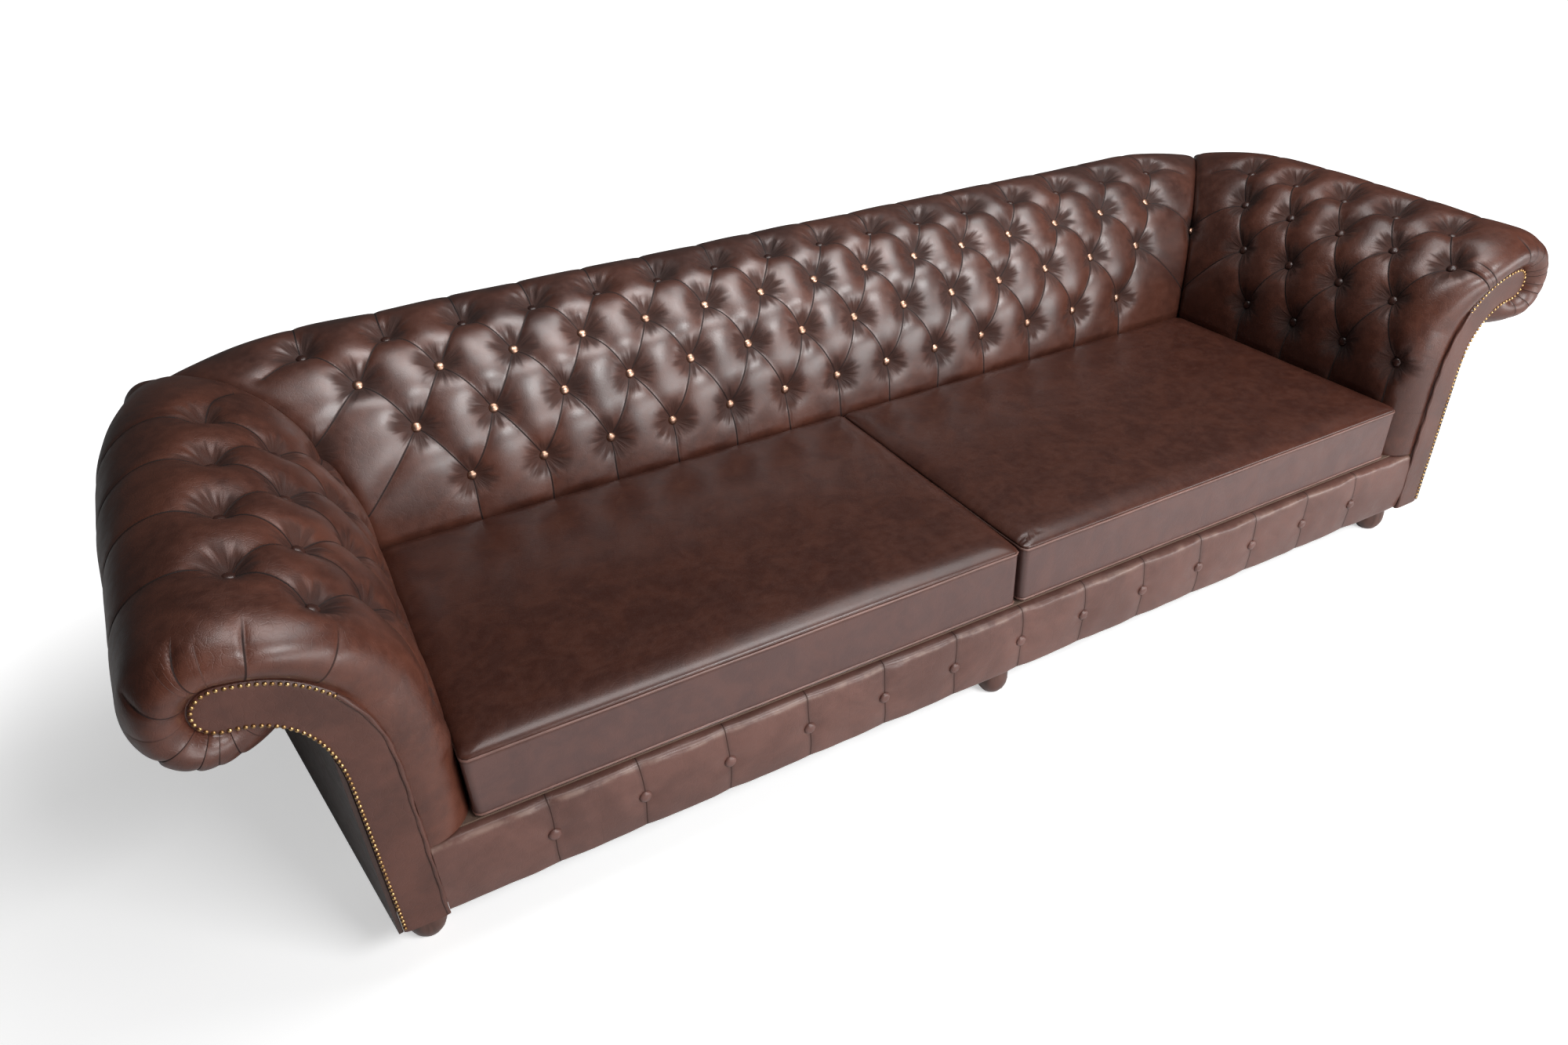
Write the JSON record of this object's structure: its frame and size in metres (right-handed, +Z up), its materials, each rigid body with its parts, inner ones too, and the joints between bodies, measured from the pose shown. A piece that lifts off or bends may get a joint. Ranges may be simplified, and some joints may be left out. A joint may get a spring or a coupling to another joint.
{
  "type": "chesterfield sofa",
  "caption": "Long low sofa with a button-tufted back and rolled arms of one height, loose seat cushions, nail-trimmed scroll facings, a buttoned front rail and turned feet.",
  "frame": {"origin": "middle of the sofa's footprint, on the floor under its feet", "axes": "+X to the right along the seat for someone facing the sofa, -Y to the front, +Z up"},
  "size_m": [2.9504, 1.0906, 0.768],
  "materials": {
    "tufted_leather": "dark chestnut leather, semi-gloss, mottled",
    "cushion_leather": "dark chestnut leather, semi-gloss, lightly creased",
    "panel_leather": "dark chestnut leather, smooth",
    "rail_leather": "dark chestnut leather, satin, a little paler",
    "nail_brass": "aged brass domes",
    "foot_wood": "dark stained and lacquered turned wood",
    "frame_wood": "plain sawn hardwood",
    "webbing": "jute webbing",
    "deck_felt": "brown lining cloth over felt and springs",
    "dust_cloth": "thin black cambric"
  },
  "bodies": {
    "sofa_frame": {"front_seat_rail": "frame_wood", "back_seat_rail": "frame_wood", "back_bottom_rail": "frame_wood", "right_seat_side_rail": "frame_wood", "left_seat_side_rail": "frame_wood", "right_outer_rail": "frame_wood", "left_outer_rail": "frame_wood", "centre_rail_front": "frame_wood", "centre_rail_rear": "frame_wood", "right_front_corner_block": "frame_wood", "left_front_corner_block": "frame_wood", "right_back_corner_block": "frame_wood", "left_back_corner_block": "frame_wood", "right_arm_front_board": "frame_wood", "left_arm_front_board": "frame_wood", "right_arm_rear_rib": "frame_wood", "left_arm_rear_rib": "frame_wood", "right_arm_top_rail": "frame_wood", "left_arm_top_rail": "frame_wood", "back_top_rail": "frame_wood", "left_back_rib": "frame_wood", "centre_back_rib": "frame_wood", "right_back_rib": "frame_wood", "seat_webbing": "webbing", "deck_pad": "deck_felt", "dust_cover": "dust_cloth", "front_left_foot": "foot_wood", "front_centre_foot": "foot_wood", "front_right_foot": "foot_wood", "back_left_foot": "foot_wood", "back_centre_foot": "foot_wood", "back_right_foot": "foot_wood", "front_rail_cover": "rail_leather", "rail_button_01": "rail_leather", "rail_button_02": "rail_leather", "rail_button_03": "rail_leather", "rail_button_04": "rail_leather", "rail_button_05": "rail_leather", "rail_button_06": "rail_leather", "rail_button_07": "rail_leather", "rail_button_08": "rail_leather", "rail_button_09": "rail_leather", "rail_button_10": "rail_leather", "rail_button_11": "rail_leather", "rail_button_12": "rail_leather", "rail_button_13": "rail_leather", "right_arm_pad": "tufted_leather", "left_arm_pad": "tufted_leather", "back_pad": "tufted_leather", "right_outside_arm_panel": "panel_leather", "left_outside_arm_panel": "panel_leather", "outside_back_panel": "panel_leather", "right_arm_facing": "panel_leather", "left_arm_facing": "panel_leather", "right_nail_trim": "nail_brass", "left_nail_trim": "nail_brass"},
    "right_cushion": {"right_seat_cushion": "cushion_leather"},
    "left_cushion": {"left_seat_cushion": "cushion_leather"}
  },
  "joints": [
    {"name": "right_cushion_lift", "type": "slide", "parent": "sofa_frame", "child": "right_cushion", "axis": [0, 0, 1], "range_m": [0, 0.35]},
    {"name": "left_cushion_lift", "type": "slide", "parent": "sofa_frame", "child": "left_cushion", "axis": [0, 0, 1], "range_m": [0, 0.35]}
  ]
}
